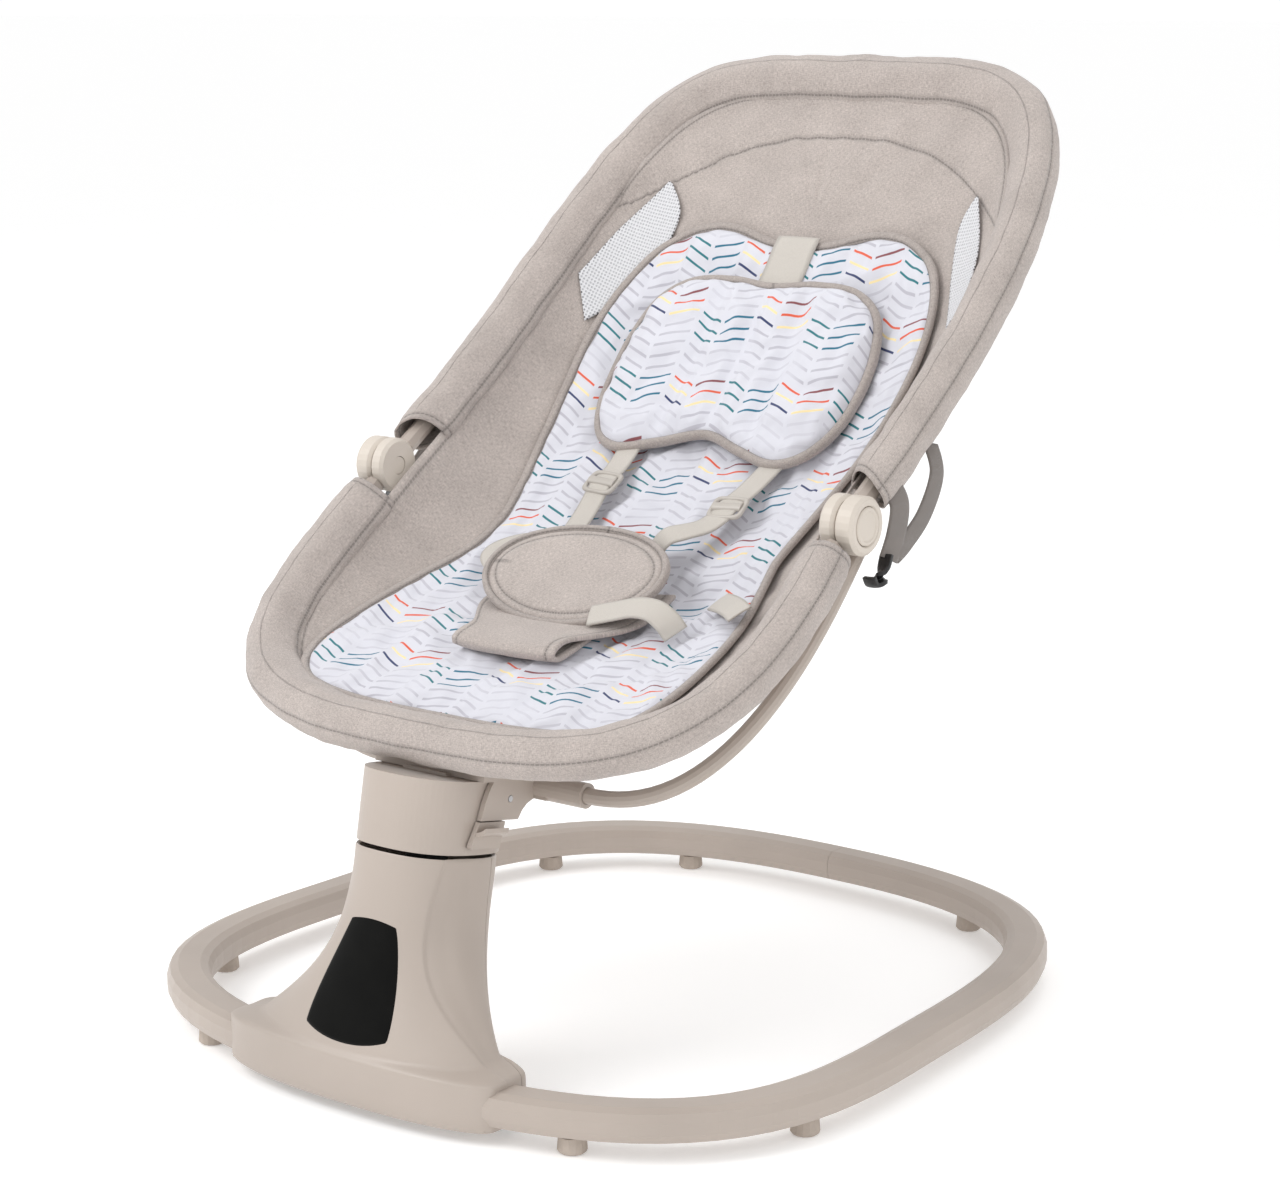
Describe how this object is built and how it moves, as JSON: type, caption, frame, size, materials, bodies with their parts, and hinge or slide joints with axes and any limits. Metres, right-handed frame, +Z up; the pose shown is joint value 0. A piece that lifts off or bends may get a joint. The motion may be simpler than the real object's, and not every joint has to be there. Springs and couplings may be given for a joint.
{
  "type": "electric baby bouncer seat",
  "caption": "Electric baby bouncer: ring base with swing tower, lift-off seat on bent rails, reclining backrest on hub hinges, padded cover and printed liner.",
  "frame": {"origin": "on the floor under the middle of the overall box", "axes": "+Z up, +Y from the foot end to the head end, +X to the seat's left-hand hinge side; the object mirrors about X = 0"},
  "size_m": [0.6038, 0.6756, 0.7118],
  "materials": {
    "shell": "satin taupe moulding",
    "underside": "matte",
    "pad_rubber": "soft matte",
    "panel": "high gloss black",
    "coated_tube": "powder coated taupe",
    "hub_plastic": "satin cream",
    "steel": "plain steel",
    "gear_plastic": "natural moulding",
    "electronics": "matte black",
    "cover_fabric": "heathered taupe cloth",
    "print_fabric": "white cloth printed with dashes",
    "webbing": "light grey webbing",
    "adjuster_plastic": "satin"
  },
  "bodies": {
    "stand": {"foot_cover": "underside", "base_spigot": "underside", "foot_pad_right_1": "pad_rubber", "foot_pad_right_2": "pad_rubber", "foot_pad_right_3": "pad_rubber", "foot_pad_right_4": "pad_rubber", "foot_pad_left_1": "pad_rubber", "foot_pad_left_2": "pad_rubber", "foot_pad_left_3": "pad_rubber", "foot_pad_left_4": "pad_rubber", "base_arm_right": "shell", "base_arm_left": "shell", "tower_front": "shell", "tower_rear_cover": "shell", "control_panel": "panel", "swing_bush": "gear_plastic", "drive_motor": "steel", "circuit_board": "electronics", "speaker": "electronics", "power_inlet": "electronics"},
    "pinion": {"motor_pinion": "gear_plastic"},
    "head": {"swing_head": "shell", "swing_spindle": "steel", "swing_gear": "gear_plastic"},
    "seat": {"seat_saddle": "shell", "saddle_screw_right": "steel", "saddle_screw_left": "steel", "seat_rail_right": "coated_tube", "seat_rail_left": "coated_tube", "hub_inner_right": "hub_plastic", "hub_inner_left": "hub_plastic", "leg_tube": "coated_tube", "cover_roll_leg": "cover_fabric", "sling_leg": "cover_fabric", "sling_hip": "cover_fabric", "liner_leg": "print_fabric", "liner_hip": "print_fabric", "crotch_pad": "cover_fabric", "crotch_flap": "cover_fabric"},
    "lever_right": {"release_lever_right": "shell"},
    "lever_left": {"release_lever_left": "shell"},
    "backrest": {"hub_outer_right": "hub_plastic", "hub_outer_left": "hub_plastic", "back_tube": "coated_tube", "cover_roll_back": "cover_fabric", "sling_back": "cover_fabric", "liner_back": "print_fabric", "head_pillow": "print_fabric", "pillow_strap": "webbing", "shoulder_strap_right": "webbing", "shoulder_strap_left": "webbing", "strap_adjuster_right": "adjuster_plastic", "strap_adjuster_left": "adjuster_plastic"},
    "button_right": {"hub_button_right": "hub_plastic"},
    "button_left": {"hub_button_left": "hub_plastic"}
  },
  "joints": [
    {"name": "swing", "type": "hinge", "parent": "stand", "child": "head", "pos_m": [0, -0.23781, 0.17], "axis": [0, 0.1908, 0.9816], "range_deg": [-12, 12]},
    {"name": "pinion_turn", "type": "hinge", "parent": "stand", "child": "pinion", "pos_m": [-0.03, -0.24621, 0.12681], "axis": [0, 0.1908, 0.9816], "range_deg": [-40, 40]},
    {"name": "seat_lift", "type": "slide", "parent": "head", "child": "seat", "axis": [0, 0.1908, 0.9816], "range_m": [0, 0.05]},
    {"name": "recline", "type": "hinge", "parent": "seat", "child": "backrest", "pos_m": [0, -0.03181, 0.3966], "axis": [1, 0, 0], "range_deg": [-6, 20], "deforming": ["sling_hip", "liner_hip"]},
    {"name": "lever_right_pull", "type": "hinge", "parent": "seat", "child": "lever_right", "pos_m": [0.0468, -0.23089, 0.19514], "axis": [0, -0.9816, 0.1908], "range_deg": [0, 10], "stiffness_Nm_per_rad": 0.4},
    {"name": "lever_left_pull", "type": "hinge", "parent": "seat", "child": "lever_left", "pos_m": [-0.0468, -0.23089, 0.19514], "axis": [0, 0.9816, -0.1908], "range_deg": [0, 10], "stiffness_Nm_per_rad": 0.4},
    {"name": "button_right_press", "type": "slide", "parent": "backrest", "child": "button_right", "axis": [-1, 0, 0], "range_m": [0, 0.0025], "stiffness_N_per_m": 500},
    {"name": "button_left_press", "type": "slide", "parent": "backrest", "child": "button_left", "axis": [1, 0, 0], "range_m": [0, 0.0025], "stiffness_N_per_m": 500}
  ],
  "couplings": [
    {"joint": "pinion_turn", "follows": "swing", "ratio": -3}
  ]
}
